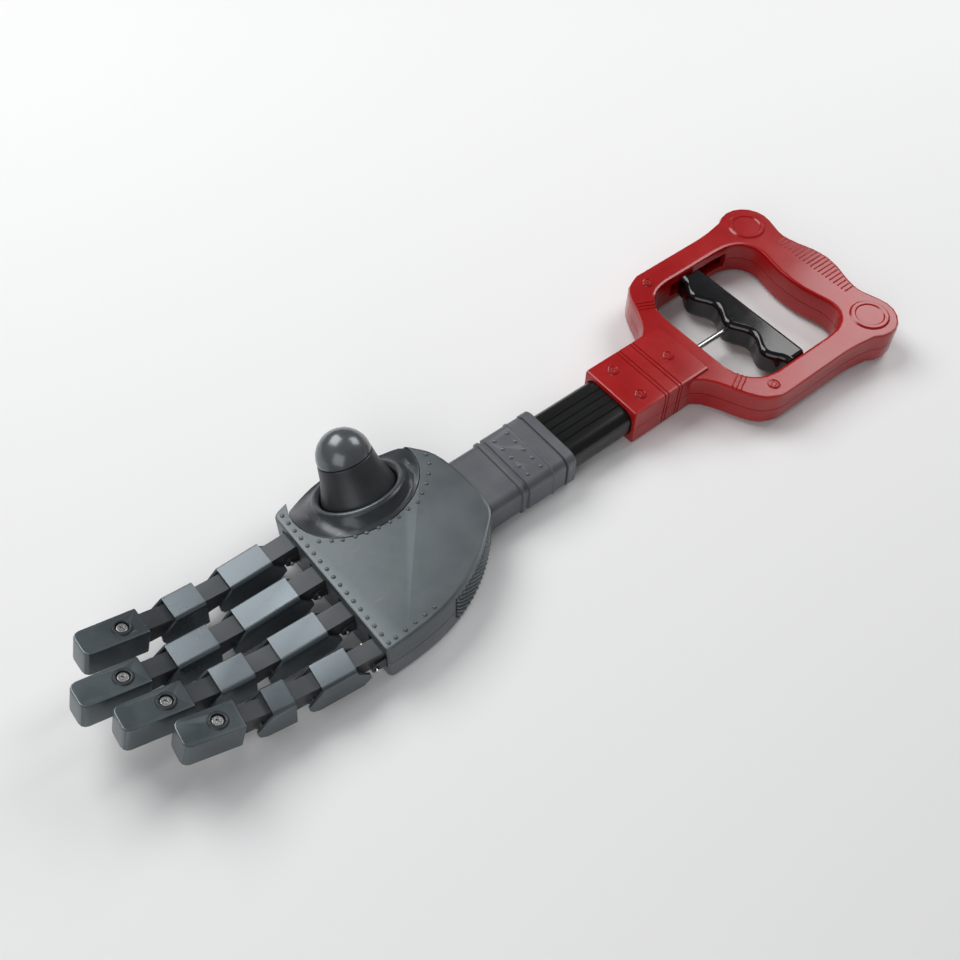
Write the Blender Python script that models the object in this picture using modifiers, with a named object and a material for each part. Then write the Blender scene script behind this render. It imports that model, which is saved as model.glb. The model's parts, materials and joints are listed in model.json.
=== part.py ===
"""Trigger-operated toy robot hand: a right hand with four tendon-pulled fingers on an oblong arm
tube, worked by a trigger bar in a D-shaped handle.  It lies on its back, palm up, with the fingers
toward -X, the thumb toward +Y and the handle toward +X.  Dimensions are written in millimetres."""

import math

import bmesh
import bpy
from mathutils import Matrix, Vector

MM = 0.001

# --- driving dimensions (mm) ---------------------------------------------------------------------
SHIFT_X, SHIFT_Y = -1.423, 0.0          # puts the bounding box's centre on the origin
GAP = 0.3                               # clearance between touching pieces
AXIS_Z = 11.0                           # centre line of sleeve, arm tube and handle
ROD_Z = 12.5

PALM_TOP, PALM_SPLIT, PALM_WALL = 24.0, 12.0, 1.8
PALM_FRONT = -103.5

FINGER_NAMES = ("index", "middle", "ring", "little")
KNUCKLE_X, KNUCKLE_Z = -107.7, 13.0
KNUCKLE_Y = (25.5, 4.0, -17.5, -39.2)
FAN_DEG = (0.0, 1.0, 3.0, 6.0)
REST_CURL_DEG = (0.0, 7.0, 11.0)        # knuckle, middle joint, end joint
PROXIMAL_LEN = (20.2, 25.9, 21.5, 15.4)
MIDDLE_LEN = (14.0, 18.3, 14.7, 9.6)
TIP_LEN = (27.5, 28.7, 28.5, 25.0)
PIN_TO_SHELL = 8.6                      # pin to the rear edge of the shell that turns on it
ARCH_TO_PIN = 4.2                       # front edge of a shell's roof to the next pin
SHELL_TOP, SHELL_BOTTOM = 8.5, -5.2     # measured from the pin
SHELL_HALF, SHELL_FLARE, SHELL_WALL = 6.9, 0.4, 1.1
NECK_TOP = 6.7
NECK_HALF = (4.5, 4.5, 4.4, 4.0)        # narrower where the fan turns a neck between its ears
EAR_IN, EAR_OUT, LUG_R = 5.0, 5.6, 2.9
PIN_R, PIN_FIT = 1.2, 0.12
CORD_R, CORD_RISE = 0.5, 4.6

SLEEVE_X0, SLEEVE_X1 = -31.0, 23.5
TUBE_X0, TUBE_X1 = -22.0, 76.0
TUBE_HALF_W, TUBE_HALF_H, TUBE_R, TUBE_WALL = 15.8, 8.2, 6.0, 2.0

STEM_X0, STEM_X1, STEM_HALF_W, STEM_HALF_H = 61.0, 104.0, 18.0, 11.0
LOOP_HALF_H, LOOP_WALL = 9.5, 2.4
ARM_OUT, ARM_IN = 52.0, 38.5            # side arms of the loop, from the centre line
OPEN_X0, OPEN_X1 = 117.7, 188.0         # the hand opening
LOBE_X, LOBE_Y, LOBE_R = 200.0, 42.5, 15.0
GRIP_X = 217.0
TRIGGER_X0, TRIGGER_X1 = 146.0, 159.0
TRIGGER_LOW, TRIGGER_HIGH = 4.0, 18.6
TRIGGER_HALF, BUMP_PITCH, BUMP_HEIGHT = 37.9, 25.0, 5.2

THUMB_X, THUMB_Y, THUMB_Z, THUMB_LEAN_DEG = -65.1, 29.6, 20.5, 27.0


# --- scene and materials -------------------------------------------------------------------------
for old in list(bpy.data.objects):
    bpy.data.objects.remove(old, do_unlink=True)
PARTS = bpy.data.collections.new("robot_hand_grabber")
TOOLS = bpy.data.collections.new("cutters")
TOOLS.hide_render = True
for collection in (PARTS, TOOLS):
    bpy.context.scene.collection.children.link(collection)


def make_material(name, colour, metallic=0.0, roughness=0.4):
    material = bpy.data.materials.new(name)
    material.use_nodes = True
    shader = material.node_tree.nodes["Principled BSDF"]
    shader.inputs["Base Color"].default_value = (*colour, 1.0)
    shader.inputs["Metallic"].default_value = metallic
    shader.inputs["Roughness"].default_value = roughness
    material.diffuse_color = (*colour, 1.0)
    return material


LOOKS = {
    "hand_plastic": ((0.16, 0.175, 0.19), 0.35, 0.38),
    "finger_plastic": ((0.15, 0.165, 0.18), 0.35, 0.36),
    "thumb_plastic": ((0.07, 0.075, 0.08), 0.2, 0.45),
    "handle_plastic": ((0.5, 0.01, 0.012), 0.0, 0.22),
    "trigger_plastic": ((0.008, 0.008, 0.009), 0.0, 0.2),
    "tube_plastic": ((0.006, 0.006, 0.007), 0.0, 0.3),
    "steel": ((0.6, 0.6, 0.6), 1.0, 0.25),
    "cord": ((0.75, 0.74, 0.7), 0.0, 0.7),
}


# --- building blocks -----------------------------------------------------------------------------
def add_object(name, mesh, look=None, matrix=None, smooth_deg=35.0):
    """Links a mesh as a part when it has a look, else as a hidden cutter."""
    obj = bpy.data.objects.new(name, mesh)
    (PARTS if look else TOOLS).objects.link(obj)
    if look:
        colour, metallic, roughness = LOOKS[look]
        mesh.materials.append(make_material(name + "." + look, colour, metallic, roughness))
    else:
        obj.hide_render = True
        obj.display_type = "WIRE"
    for polygon in mesh.polygons:
        polygon.use_smooth = bool(look)
    if look:
        mesh.set_sharp_from_angle(angle=math.radians(smooth_deg))
    if matrix is not None:
        obj.matrix_world = matrix
    return obj


def curve_mesh(name, curve):
    """Turns a curve into a welded mesh whose faces point outward."""
    carrier = bpy.data.objects.new(name, curve)
    bpy.context.scene.collection.objects.link(carrier)
    depsgraph = bpy.context.evaluated_depsgraph_get()
    mesh = bpy.data.meshes.new_from_object(carrier.evaluated_get(depsgraph))
    bpy.data.objects.remove(carrier, do_unlink=True)
    bpy.data.curves.remove(curve)
    body = bmesh.new()
    body.from_mesh(mesh)
    bmesh.ops.remove_doubles(body, verts=body.verts, dist=0.02 * MM)
    bmesh.ops.dissolve_limit(body, angle_limit=math.radians(0.5), verts=body.verts, edges=body.edges)
    bmesh.ops.recalc_face_normals(body, faces=body.faces)
    body.to_mesh(mesh)
    body.free()
    mesh.name = name
    return mesh


PLANES = {
    "XY": Matrix.Identity(4),
    "XZ": Matrix(((1, 0, 0, 0), (0, 0, 1, 0), (0, 1, 0, 0), (0, 0, 0, 1))),
    "YZ": Matrix(((0, 0, 1, 0), (1, 0, 0, 0), (0, 1, 0, 0), (0, 0, 0, 1))),
}


def plate(name, outlines, plane, low, high, look=None, matrix=None, bevel=0.0):
    """Extrudes flat outlines (a second one is a hole) between low and high across a plane."""
    curve = bpy.data.curves.new(name, "CURVE")
    curve.dimensions = "2D"
    curve.fill_mode = "BOTH"
    curve.extrude = (high - low) / 2 * MM
    for outline in outlines:
        spline = curve.splines.new("POLY")
        spline.points.add(len(outline) - 1)
        for point, (u, v) in zip(spline.points, outline):
            point.co = (u * MM, v * MM, 0.0, 1.0)
        spline.use_cyclic_u = True
    mesh = curve_mesh(name, curve)
    mesh.transform(PLANES[plane] @ Matrix.Translation((0, 0, (low + high) / 2 * MM)))
    if plane == "XZ":
        mesh.flip_normals()
    mesh.update()
    obj = add_object(name, mesh, look, matrix)
    if bevel:
        add_bevel(obj, bevel)
    return obj


def turned(name, profile, steps=32, look=None, matrix=None):
    """Revolves an (r, z) profile, listed down the outside, about Z."""
    mesh = bpy.data.meshes.new(name)
    points = [(r * MM, 0.0, z * MM) for r, z in profile]
    mesh.from_pydata(points, [(i, i + 1) for i in range(len(points) - 1)], [])
    obj = add_object(name, mesh, look, matrix)
    screw = obj.modifiers.new("turn", "SCREW")
    screw.axis = "Z"
    screw.steps = steps
    screw.render_steps = steps
    screw.use_merge_vertices = True
    screw.merge_threshold = 0.00001
    screw.use_smooth_shade = True
    return obj


def add_bevel(obj, width, segments=2, angle=40.0):
    bevel = obj.modifiers.new("bevel", "BEVEL")
    bevel.width = width * MM
    bevel.segments = segments
    bevel.limit_method = "ANGLE"
    bevel.angle_limit = math.radians(angle)
    bevel.use_clamp_overlap = True
    return bevel


def combine(obj, other, operation="DIFFERENCE"):
    boolean = obj.modifiers.new(operation.lower(), "BOOLEAN")
    boolean.operation = operation
    boolean.solver = "EXACT"
    boolean.object = other
    return obj


def arc(cx, cy, radius, start_deg, end_deg, steps):
    return [
        (
            cx + radius * math.cos(math.radians(start_deg + (end_deg - start_deg) * i / steps)),
            cy + radius * math.sin(math.radians(start_deg + (end_deg - start_deg) * i / steps)),
        )
        for i in range(steps + 1)
    ]


def rounded_rect(half_w, half_h, radius, steps=4, cx=0.0, cy=0.0):
    points = []
    for sx, sy, start in ((1, 1, 0), (-1, 1, 90), (-1, -1, 180), (1, -1, 270)):
        centre = (cx + sx * (half_w - radius), cy + sy * (half_h - radius))
        points += arc(*centre, radius, start, start + 90, steps)
    return points


def rounded(corners, steps=3):
    """Rounds a polygon whose corners are (u, v, radius)."""
    points = []
    count = len(corners)
    for i, (u, v, radius) in enumerate(corners):
        if radius <= 0:
            points.append((u, v))
            continue
        here = Vector((u, v))
        back = (Vector(corners[i - 1][:2]) - here).normalized()
        ahead = (Vector(corners[(i + 1) % count][:2]) - here).normalized()
        half = math.acos(max(-1.0, min(1.0, back.dot(ahead)))) / 2
        reach = radius / math.tan(half)
        centre = here + (back + ahead).normalized() * (radius / math.sin(half))
        first = here + back * reach - centre
        last = here + ahead * reach - centre
        turn = math.atan2(first.x * last.y - first.y * last.x, first.dot(last))
        for k in range(steps + 1):
            angle = turn * k / steps
            point = Matrix.Rotation(angle, 2) @ first + centre
            points.append((point.x, point.y))
    return points


def smooth_path(knots, steps=4, closed=True):
    """Catmull-Rom curve through the knots."""
    count = len(knots)
    points = []
    for i in range(count if closed else count - 1):
        if closed:
            p = [Vector(knots[(i + k) % count]) for k in (-1, 0, 1, 2)]
        else:
            p = [Vector(knots[max(0, min(count - 1, i + k))]) for k in (-1, 0, 1, 2)]
        for k in range(steps):
            t = k / steps
            point = 0.5 * (
                2 * p[1] + (p[2] - p[0]) * t
                + (2 * p[0] - 5 * p[1] + 4 * p[2] - p[3]) * t * t
                + (3 * p[1] - p[0] - 3 * p[2] + p[3]) * t ** 3
            )
            points.append(tuple(point))
    if not closed:
        points.append(tuple(knots[-1]))
    return points


def inset(outline, distance):
    """Moves a closed outline inward (outward if negative)."""
    area = sum(a[0] * b[1] - b[0] * a[1] for a, b in zip(outline, outline[1:] + outline[:1]))
    side = 1.0 if area > 0 else -1.0
    result = []
    for i, point in enumerate(outline):
        here = Vector(point)
        before = (here - Vector(outline[i - 1])).normalized()
        after = (Vector(outline[(i + 1) % len(outline)]) - here).normalized()
        normal = Vector((-(before.y + after.y), before.x + after.x)).normalized() * side
        stretch = max(0.5, math.cos(before.angle(after) / 2))
        result.append(tuple(here + normal * distance / stretch))
    return result


def full(half):
    """Closes a half outline, which starts or ends on the X axis, by its mirror image."""
    return half + [(x, -y) for x, y in reversed(half) if abs(y) > 1e-6]


def place(x, y, z):
    return Matrix.Translation(Vector((x + SHIFT_X, y + SHIFT_Y, z)) * MM)


TILTS = {
    "X": Matrix.Rotation(math.pi / 2, 4, "Y"),
    "Y": Matrix.Rotation(-math.pi / 2, 4, "X"),
    "Z": Matrix.Identity(4),
}


def along(axis, low, high, radius, name, matrix, steps=16, look=None, chamfer=0.0):
    """A round bar between two stations of a local axis."""
    profile = [(0.0, high), (radius - chamfer, high), (radius, high - chamfer)]
    profile += [(radius, low + chamfer), (radius - chamfer, low), (0.0, low)]
    if not chamfer:
        profile = [(0.0, high), (radius, high), (radius, low), (0.0, low)]
    return turned(name, profile, steps, look, matrix @ TILTS[axis])


def loft_along_x(name, stations, look=None, matrix=None, steps=4):
    """Skins rounded rectangles of changing size: stations are (x, half_w, half_h, radius)."""
    mesh = bpy.data.meshes.new(name)
    body = bmesh.new()
    rings = []
    for x, half_w, half_h, radius in stations:
        section = rounded_rect(half_w, half_h, radius, steps)
        rings.append([body.verts.new((x * MM, y * MM, z * MM)) for y, z in section])
    for first, second in zip(rings, rings[1:]):
        for i in range(len(first)):
            j = (i + 1) % len(first)
            body.faces.new((first[i], first[j], second[j], second[i]))
    body.faces.new(rings[0])
    body.faces.new(rings[-1])
    bmesh.ops.recalc_face_normals(body, faces=body.faces)
    body.to_mesh(mesh)
    body.free()
    return add_object(name, mesh, look, matrix)


def domes(name, centres, radius, height, matrix, sides=8):
    """Low rivet heads at the given (x, y, z); their flat sides sink a little below z."""
    body = bmesh.new()
    for x, y, z in centres:
        rings = []
        for r, dz in ((radius, -0.6), (radius, 0.1 * height), (radius * 0.75, 0.7 * height)):
            ring = arc(x, y, r, 0, 360 - 360 / sides, sides - 1)
            rings.append([body.verts.new((u * MM, v * MM, (z + dz) * MM)) for u, v in ring])
        top = body.verts.new((x * MM, y * MM, (z + height) * MM))
        for low, high in zip(rings, rings[1:]):
            for i in range(sides):
                body.faces.new((low[i], low[(i + 1) % sides], high[(i + 1) % sides], high[i]))
        for i in range(sides):
            body.faces.new((rings[-1][i], rings[-1][(i + 1) % sides], top))
        body.faces.new(list(reversed(rings[0])))
    mesh = bpy.data.meshes.new(name)
    bmesh.ops.recalc_face_normals(body, faces=body.faces)
    body.to_mesh(mesh)
    body.free()
    return add_object(name, mesh, None, matrix)


WORLD = place(0, 0, 0)

# --- palm ----------------------------------------------------------------------------------------
PALM_EDGE = smooth_path([
    (-91.0, 42.0), (-80.0, 49.0), (-66.0, 51.5), (-51.0, 48.0), (-40.0, 38.5), (-32.0, 29.5), (-27.2, 21.5),
    (-24.8, 8.0), (-24.6, -6.0), (-26.6, -18.0), (-34.0, -25.5), (-43.0, -32.5), (-53.5, -38.6),
    (-65.0, -43.0), (-78.0, -45.8), (-92.0, -46.8),
], 3, closed=False)
PALM_CORNERS = [(PALM_FRONT, -46.8, 2.5), (PALM_FRONT, 38.5, 3.5)]
PALM_OUTLINE = rounded(PALM_CORNERS + [(x, y, 0) for x, y in PALM_EDGE], 3)
PALM_SCREWS = ((-84.0, -30.0), (-86.0, -2.0), (-45.0, -8.0))


def build_palm():
    finger_slots = []
    slot = [(-2.0, -4.5), (9.5, -4.5), (9.5, 7.6), (-2.0, 7.6)]
    for name, y in zip(FINGER_NAMES, KNUCKLE_Y):
        frame = place(KNUCKLE_X, y, KNUCKLE_Z)
        finger_slots.append(plate("slot_" + name, [slot], "XZ", -EAR_OUT - 0.5, EAR_OUT + 0.5, None, frame))
    ends = [(x, 17.6 + GAP, 9.2 + GAP, 4.5) for x in (-40.0, -20.0)]
    sleeve_hole = loft_along_x("sleeve_hole", ends, matrix=place(0, 0, AXIS_Z))
    seat = [[(x, y, z - 4.0) for x, y, z in thumb_rim(GAP)], [(x, y, 70.0) for x, y, z in thumb_rim(GAP)]]
    thumb_seat = loft_rings("thumb_seat", seat, WORLD, capped=True)
    inner = inset(PALM_OUTLINE, PALM_WALL)
    cavity = plate("palm_cavity", [inner], "XY", PALM_WALL, PALM_TOP - PALM_WALL, None, WORLD)
    top = plate("palm_top_cover", [PALM_OUTLINE], "XY", 0.0, PALM_TOP, "hand_plastic", WORLD)
    bottom = plate("palm_bottom_cover", [PALM_OUTLINE], "XY", 0.0, PALM_TOP, "hand_plastic", WORLD)
    for cover, low, high in ((top, -5.0, PALM_SPLIT + GAP / 2), (bottom, PALM_SPLIT - GAP / 2, 50.0)):
        add_bevel(cover, 1.8, 2, 60)
        combine(cover, cavity)
        other_half = [(-130.0, -70.0), (0.0, -70.0), (0.0, 70.0), (-130.0, 70.0)]
        combine(cover, plate(cover.name + "_trim", [other_half], "XY", low, high, None, WORLD))
        for tool in finger_slots + [sleeve_hole, thumb_seat]:
            combine(cover, tool)
    # screw posts of the lower cover
    for i, (x, y) in enumerate(PALM_SCREWS):
        frame = place(x, y, 0)
        combine(bottom, along("Z", 0.9, 11.0, 3.4, f"palm_post_{i + 1}", frame, 12), "UNION")
        combine(bottom, along("Z", -1.0, 1.85, 3.0, f"palm_sink_{i + 1}", frame, 14))
        combine(bottom, along("Z", 0.0, 9.4, 1.35, f"palm_pilot_{i + 1}", frame, 10))
        small_screw(f"palm_screw_{i + 1}", frame @ Matrix.Rotation(math.pi, 4, "X"), -0.15, 7.5)
    build_knuckle_bar()


def build_knuckle_bar():
    """Bar across the palm's front with two ears for each finger's first pin."""
    section = rounded_rect(2.2, 3.9, 0.8, 1, -95.3, 12.3)
    bar = plate("knuckle_bar", [section], "XZ", -44.4, 31.2, "thumb_plastic", WORLD)
    ear = arc(0, 0, LUG_R, 90, 270, 6) + [(13.0, -3.6), (13.0, 2.4)]
    for name, y, fan in zip(FINGER_NAMES, KNUCKLE_Y, FAN_DEG):
        frame = place(KNUCKLE_X, y, KNUCKLE_Z)
        for side, start, end in (("near", -EAR_OUT, -EAR_IN), ("far", EAR_IN, EAR_OUT)):
            combine(bar, plate(f"ear_{name}_{side}", [ear], "XZ", start, end, None, frame), "UNION")
        turned_frame = frame @ Matrix.Rotation(math.radians(-fan), 4, "Z")
        combine(bar, along("Y", -8.0, 8.0, PIN_R + PIN_FIT, "ear_bore_" + name, turned_frame, 12))


def small_screw(name, frame, head_top, length, head_r=2.55):
    """A pan-head cross screw with its head's top at head_top and its shank going down."""
    under, foot = head_top - 1.4, head_top - length
    profile = [(0.0, head_top), (head_r - 0.6, head_top), (head_r, head_top - 0.6), (head_r, under)]
    profile += [(1.2, under), (1.2, foot), (0.0, foot)]
    screw = turned(name, profile, 14, "steel", frame)
    above, floor = head_top + 0.3, head_top - 0.9
    recess = [(-1.35, above), (1.35, above), (0.75, floor), (-0.75, floor)]
    for angle in (0, 90):
        turn = frame @ Matrix.Rotation(math.radians(angle + 30), 4, "Z")
        combine(screw, plate(f"{name}_recess_{angle}", [recess], "XZ", -0.32, 0.32, None, turn))
    return screw


def thumb_rim(grow=0.0, count=40):
    """Outer edge of the collar: flush with the palm at the near side, dropping away at the far side."""
    points = []
    for k in range(count):
        angle = 2 * math.pi * k / count
        x = THUMB_X - 1.9 + (31.4 + grow) * math.cos(angle)
        y = THUMB_Y - 0.2 + (25.0 + grow) * math.sin(angle)
        drop = max(0.0, math.sin(angle))
        points.append((x, y, PALM_TOP - 19.5 * drop * drop * (3 - 2 * drop)))
    return points


def thumb_ring(radius, height, count=40):
    """A circle about the leaning axis of the thumb."""
    lean = Matrix.Rotation(-math.radians(THUMB_LEAN_DEG), 4, "X")
    centre = Vector((THUMB_X, THUMB_Y, THUMB_Z))
    ring = []
    for k in range(count):
        angle = 2 * math.pi * k / count
        offset = Vector((radius * math.cos(angle), radius * math.sin(angle), height))
        ring.append(tuple(centre + lean @ offset))
    return ring


def loft_rings(name, rings, matrix, look=None, capped=False):
    """Skins rings of equal point count; closed on itself, or capped at both ends."""
    body = bmesh.new()
    loops = [[body.verts.new(Vector(point) * MM) for point in ring] for ring in rings]
    pairs = list(zip(loops, loops[1:] + ([] if capped else loops[:1])))
    for first, second in pairs:
        for k in range(len(first)):
            j = (k + 1) % len(first)
            body.faces.new((first[k], first[j], second[j], second[k]))
    if capped:
        body.faces.new(loops[0])
        body.faces.new(loops[-1])
    mesh = bpy.data.meshes.new(name)
    bmesh.ops.triangulate(body, faces=body.faces)
    bmesh.ops.recalc_face_normals(body, faces=body.faces)
    body.to_mesh(mesh)
    body.free()
    return add_object(name, mesh, look, matrix)


def blend_rings(first, second, share, lift=0.0):
    return [tuple(Vector(a).lerp(Vector(b), share) + Vector((0, 0, lift))) for a, b in zip(first, second)]


def build_thumb_pieces():
    """A flared collar sunk into the palm's edge, a dark cone standing in it and a domed cap."""
    rim = thumb_rim()
    ring = thumb_ring(22.4, -0.4)
    foot = [(x, y, z - 3.6) for x, y, z in rim]
    rings = [foot, rim, blend_rings(rim, ring, 0.4, -1.6), blend_rings(rim, ring, 0.75, -1.5), ring,
             thumb_ring(21.7, 0.5), thumb_ring(20.6, 0.9), thumb_ring(19.3, 0.6), thumb_ring(18.5, -0.4),
             thumb_ring(18.2, -5.0)]
    loft_rings("thumb_collar", rings, WORLD, "hand_plastic")
    tilt = Matrix.Rotation(-math.radians(THUMB_LEAN_DEG), 4, "X")
    stand = place(THUMB_X, THUMB_Y, THUMB_Z) @ tilt
    cone = [(0.0, 17.2), (12.4, 17.2), (12.9, 16.8), (13.1, 15.6), (13.9, 11.0), (15.6, 5.0), (17.3, 0.4),
            (17.7, -1.2), (17.7, -5.0), (0.0, -5.0)]
    turned("thumb_cone", cone, 32, "thumb_plastic", stand)
    base = 17.2 + GAP
    dome = [(0.0, base + 12.8)]
    for degrees in (16, 33, 50, 66, 80, 90):
        angle = math.radians(degrees)
        dome.append((12.7 * math.sin(angle), base + 0.3 + 12.5 * math.cos(angle)))
    dome += [(12.4, base), (0.0, base)]
    turned("thumb_dome", dome, 32, "thumb_plastic", stand)


# --- fingers -------------------------------------------------------------------------------------
def shell_section(grow=0.0):
    """Half-hexagonal channel outline in (y, z) about the pin, open space below."""
    top, bottom, half, flare = SHELL_TOP - grow, SHELL_BOTTOM, SHELL_HALF - grow, SHELL_FLARE
    low = bottom - (3.0 if grow else 0.0)
    radius = max(0.6, 1.9 - grow)
    corners = [(half, top, radius), (-half, top, radius), (-half - flare, low, 0), (half + flare, low, 0)]
    return rounded(corners, 3)


def core_profile(front):
    """Neck, lug and web in (x, z) about the pin, x toward the palm."""
    web = [(-9.4, -2.6), (-front, -2.6), (-front, 7.9), (-9.0, 7.9)]
    neck = [(-9.0, NECK_TOP), (5.9, NECK_TOP), (6.5, NECK_TOP - 0.6)]
    return [(6.5, 3.2), (3.2, 1.6)] + arc(0, 0, LUG_R, -20, -150, 6) + web + neck


def cut_cord_way(body, name, frame, front):
    """Bore for the pull cord, lengthwise through the neck."""
    raised = frame @ Matrix.Translation((0, 0, CORD_RISE * MM))
    combine(body, along("X", front, 8.0, 0.9, name + "_cord_way", raised, 6))


def build_segment(kind, finger, length, frame, is_knuckle, neck_half):
    """One open-bottomed shell with its neck and lug; its own pin is at the frame's origin."""
    name = f"{finger}_{kind}"
    reach = PIN_TO_SHELL + length + ARCH_TO_PIN
    body = plate(name, [shell_section()], "YZ", -reach - 4.0, -2.0, "finger_plastic", frame)
    rear = [(-PIN_TO_SHELL, 9.5), (-PIN_TO_SHELL, -5.4)]
    if is_knuckle:
        rear = [(-PIN_TO_SHELL, 9.5), (-PIN_TO_SHELL, 5.6), (-3.4, 0.6), (-3.2, -2.0), (-7.3, -5.4)]
    ear = [(-reach + 1.4, -5.4), (-reach - 2.0, -3.6), (-reach - 3.1, -1.4), (-reach - 3.0, 0.9),
           (-reach + ARCH_TO_PIN, 7.0), (-reach + ARCH_TO_PIN, 9.5)]
    side = plate(name + "_side", [rear + ear], "XZ", -9.0, 9.0, None, frame)
    combine(body, side, "INTERSECT")
    channel = shell_section(SHELL_WALL)
    combine(body, plate(name + "_channel", [channel], "YZ", -reach - 6.0, 0.0, None, frame))
    front = min(12.5, reach - 10.3)
    core = core_profile(front)
    combine(body, plate(name + "_core", [core], "XZ", -neck_half, neck_half, None, frame), "UNION")
    cut_cord_way(body, name, frame, -front - 1.0)
    combine(body, along("Y", -5.5, 5.5, PIN_R + PIN_FIT, name + "_bore", frame, 12))
    ahead = frame @ Matrix.Translation((-reach * MM, 0, 0))
    combine(body, along("Y", -6.45, 6.45, PIN_R + PIN_FIT, name + "_ear_bore", ahead, 12))
    return ahead


def build_tip(finger, length, frame, neck_half):
    """Rounded end box with a counterbored screw, on the same neck and lug."""
    name = f"{finger}_tip"
    rear, nose = -PIN_TO_SHELL, -PIN_TO_SHELL - length
    outline = rounded([(nose, -6.6, 3.2), (nose, 6.6, 3.2), (rear, 6.9, 0.8), (rear, -6.9, 0.8)], 3)
    body = plate(name, [outline], "XY", SHELL_BOTTOM, SHELL_TOP, "finger_plastic", frame)
    add_bevel(body, 1.7, 2, 60)
    front, back = nose + 2.2, rear - 1.6
    hollow = rounded([(front, -4.9, 2.0), (front, 4.9, 2.0), (back, 5.2, 0.5), (back, -5.2, 0.5)], 2)
    combine(body, plate(name + "_hollow", [hollow], "XY", SHELL_BOTTOM - 2.0, SHELL_TOP - 2.4, None, frame))
    core = core_profile(12.5)
    combine(body, plate(name + "_core", [core], "XZ", -neck_half, neck_half, None, frame), "UNION")
    seat = frame @ Matrix.Translation(((rear - 9.2) * MM, 0, SHELL_TOP * MM))
    ring = [(0.0, 0.5), (3.5, 0.55), (3.9, 0.5), (4.3, 0.0), (4.3, -0.8), (0.0, -0.8)]
    combine(body, turned(name + "_ring", ring, 18, None, seat), "UNION")
    post_seat = seat @ Matrix.Rotation(0.07, 4, "Z")
    combine(body, along("Z", -10.6, -1.2, 2.5, name + "_post", post_seat, 12), "UNION")
    combine(body, along("Z", -1.6, 2.0, 3.05, name + "_sink", seat @ Matrix.Rotation(0.13, 4, "Z"), 18))
    combine(body, along("Z", -8.4, 0.0, 1.4, name + "_pilot", seat @ Matrix.Rotation(0.2, 4, "Z"), 9))
    cut_cord_way(body, name, frame, -14.5)
    combine(body, along("Y", -5.5, 5.5, PIN_R + PIN_FIT, name + "_bore", frame, 12))
    small_screw(f"{finger}_tip_screw", seat, 0.0, 7.5, 2.75)


def cord_point(frame, x):
    point = frame @ Vector((x * MM, 0, CORD_RISE * MM))
    return point / MM


def build_cord(finger, frames, lane):
    """Pull cord from the fingertip's anchor along the fingers' necks to the yoke in the arm tube."""
    proximal, middle, tip = frames
    points = [cord_point(tip, x) for x in (-13.5, -9.0, -2.0, 7.0)]
    points += [cord_point(middle, x) for x in (-12.0, -9.0, -2.0, 7.0)]
    points += [cord_point(proximal, x) for x in (-12.5, -9.0, -2.0, 7.0)]
    last = points[-1]
    side = lane * 3.4
    points.append(Vector((-92.5 + SHIFT_X, last.y * 0.96, 17.3)))
    points.append(Vector((-86.0 + SHIFT_X, last.y * 0.86, 13.5)))
    for x, y in ((-60.0, side * 1.6), (-34.0, side), (0.0, side), (37.8, side)):
        points.append(Vector((x + SHIFT_X, y + SHIFT_Y, ROD_Z)))
    curve = bpy.data.curves.new("cord_" + finger, "CURVE")
    curve.dimensions = "3D"
    curve.bevel_depth = CORD_R * MM
    curve.bevel_resolution = 1
    curve.use_fill_caps = True
    spline = curve.splines.new("POLY")
    spline.points.add(len(points) - 1)
    for node, point in zip(spline.points, points):
        node.co = (*(point * MM), 1.0)
    add_object("cord_" + finger, curve_mesh("cord_" + finger, curve), "cord")


def build_finger(index, finger):
    lane = (1.5, 0.5, -0.5, -1.5)[index]
    fan = Matrix.Rotation(math.radians(-FAN_DEG[index]), 4, "Z")
    frame = place(KNUCKLE_X, KNUCKLE_Y[index], KNUCKLE_Z) @ fan
    frames = []
    lengths = (PROXIMAL_LEN[index], MIDDLE_LEN[index], TIP_LEN[index])
    for kind, curl, length in zip(("proximal", "middle", "tip"), REST_CURL_DEG, lengths):
        pin_half = 7.3 if kind == "proximal" else 6.2
        along("Y", -pin_half, pin_half, PIN_R, f"{finger}_pin_{kind}", frame, 12, "steel", 0.25)
        frame = frame @ Matrix.Rotation(math.radians(curl), 4, "Y")
        frames.append(frame)
        if kind == "tip":
            build_tip(finger, length, frame, NECK_HALF[index])
        else:
            frame = build_segment(kind, finger, length, frame, kind == "proximal", NECK_HALF[index])
    build_cord(finger, frames, lane)


# --- wrist sleeve and arm tube -------------------------------------------------------------------
def tube_section(half_w, half_h, radius, reeds):
    """Oblong outline; reeds are shallow grooves along the flat faces."""
    if not reeds:
        return rounded_rect(half_w, half_h, radius, 4)
    reach_w, reach_h = half_w - radius, half_h - radius
    points = []
    for side, start in ((1, 0), (-1, 180)):
        points += arc(side * reach_w, side * reach_h, radius, start, start + 90, 4)
        for centre in (-6.6, -2.2, 2.2, 6.6):
            for offset, depth in ((-0.55, 0.0), (-0.25, 0.5), (0.25, 0.5), (0.55, 0.0)):
                points.append((-side * (centre + offset), side * (half_h - depth)))
        points += arc(-side * reach_w, side * reach_h, radius, start + 90, start + 180, 4)
    return points


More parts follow.
